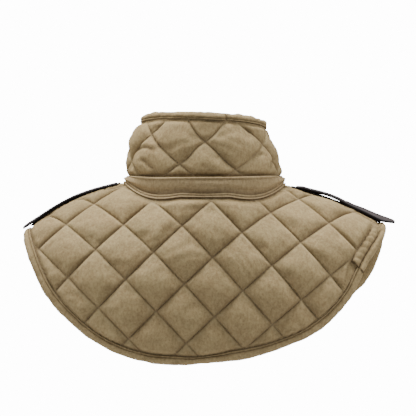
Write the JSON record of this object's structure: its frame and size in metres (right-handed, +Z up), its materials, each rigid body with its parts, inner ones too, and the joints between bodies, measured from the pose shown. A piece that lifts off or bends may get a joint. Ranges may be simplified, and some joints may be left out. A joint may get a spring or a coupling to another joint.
{
  "type": "padded collar",
  "caption": "Quilted padded collar with a standing neck ring, a shoulder mantle with bound edges and a leather strap along each shoulder, open at the front.",
  "frame": {"origin": "middle of the neck opening, about level with the top of the mantle at the neck", "axes": "+X to the wearer's left, +Y to the wearer's back, +Z up as worn"},
  "size_m": [0.4856, 0.2471, 0.3236],
  "materials": {
    "quilted_cloth": "brushed cotton, quilted in diamonds",
    "band_cloth": "brushed cotton, plain",
    "binding_cloth": "brushed cotton, folded over the edge",
    "strap_leather": "dark, satin",
    "post_metal": "blackened"
  },
  "bodies": {
    "root": {"collar_stand": "quilted_cloth", "mantle_back": "quilted_cloth", "mantle_front_left": "quilted_cloth", "mantle_front_right": "quilted_cloth", "neck_band": "band_cloth", "collar_top_binding": "binding_cloth", "hem_binding_left": "binding_cloth", "hem_binding_right": "binding_cloth", "strap_base_left": "strap_leather", "strap_base_right": "strap_leather", "strap_left": "strap_leather", "strap_right": "strap_leather", "front_clasp": "strap_leather", "strap_post_left": "post_metal", "strap_post_right": "post_metal"}
  },
  "joints": []
}
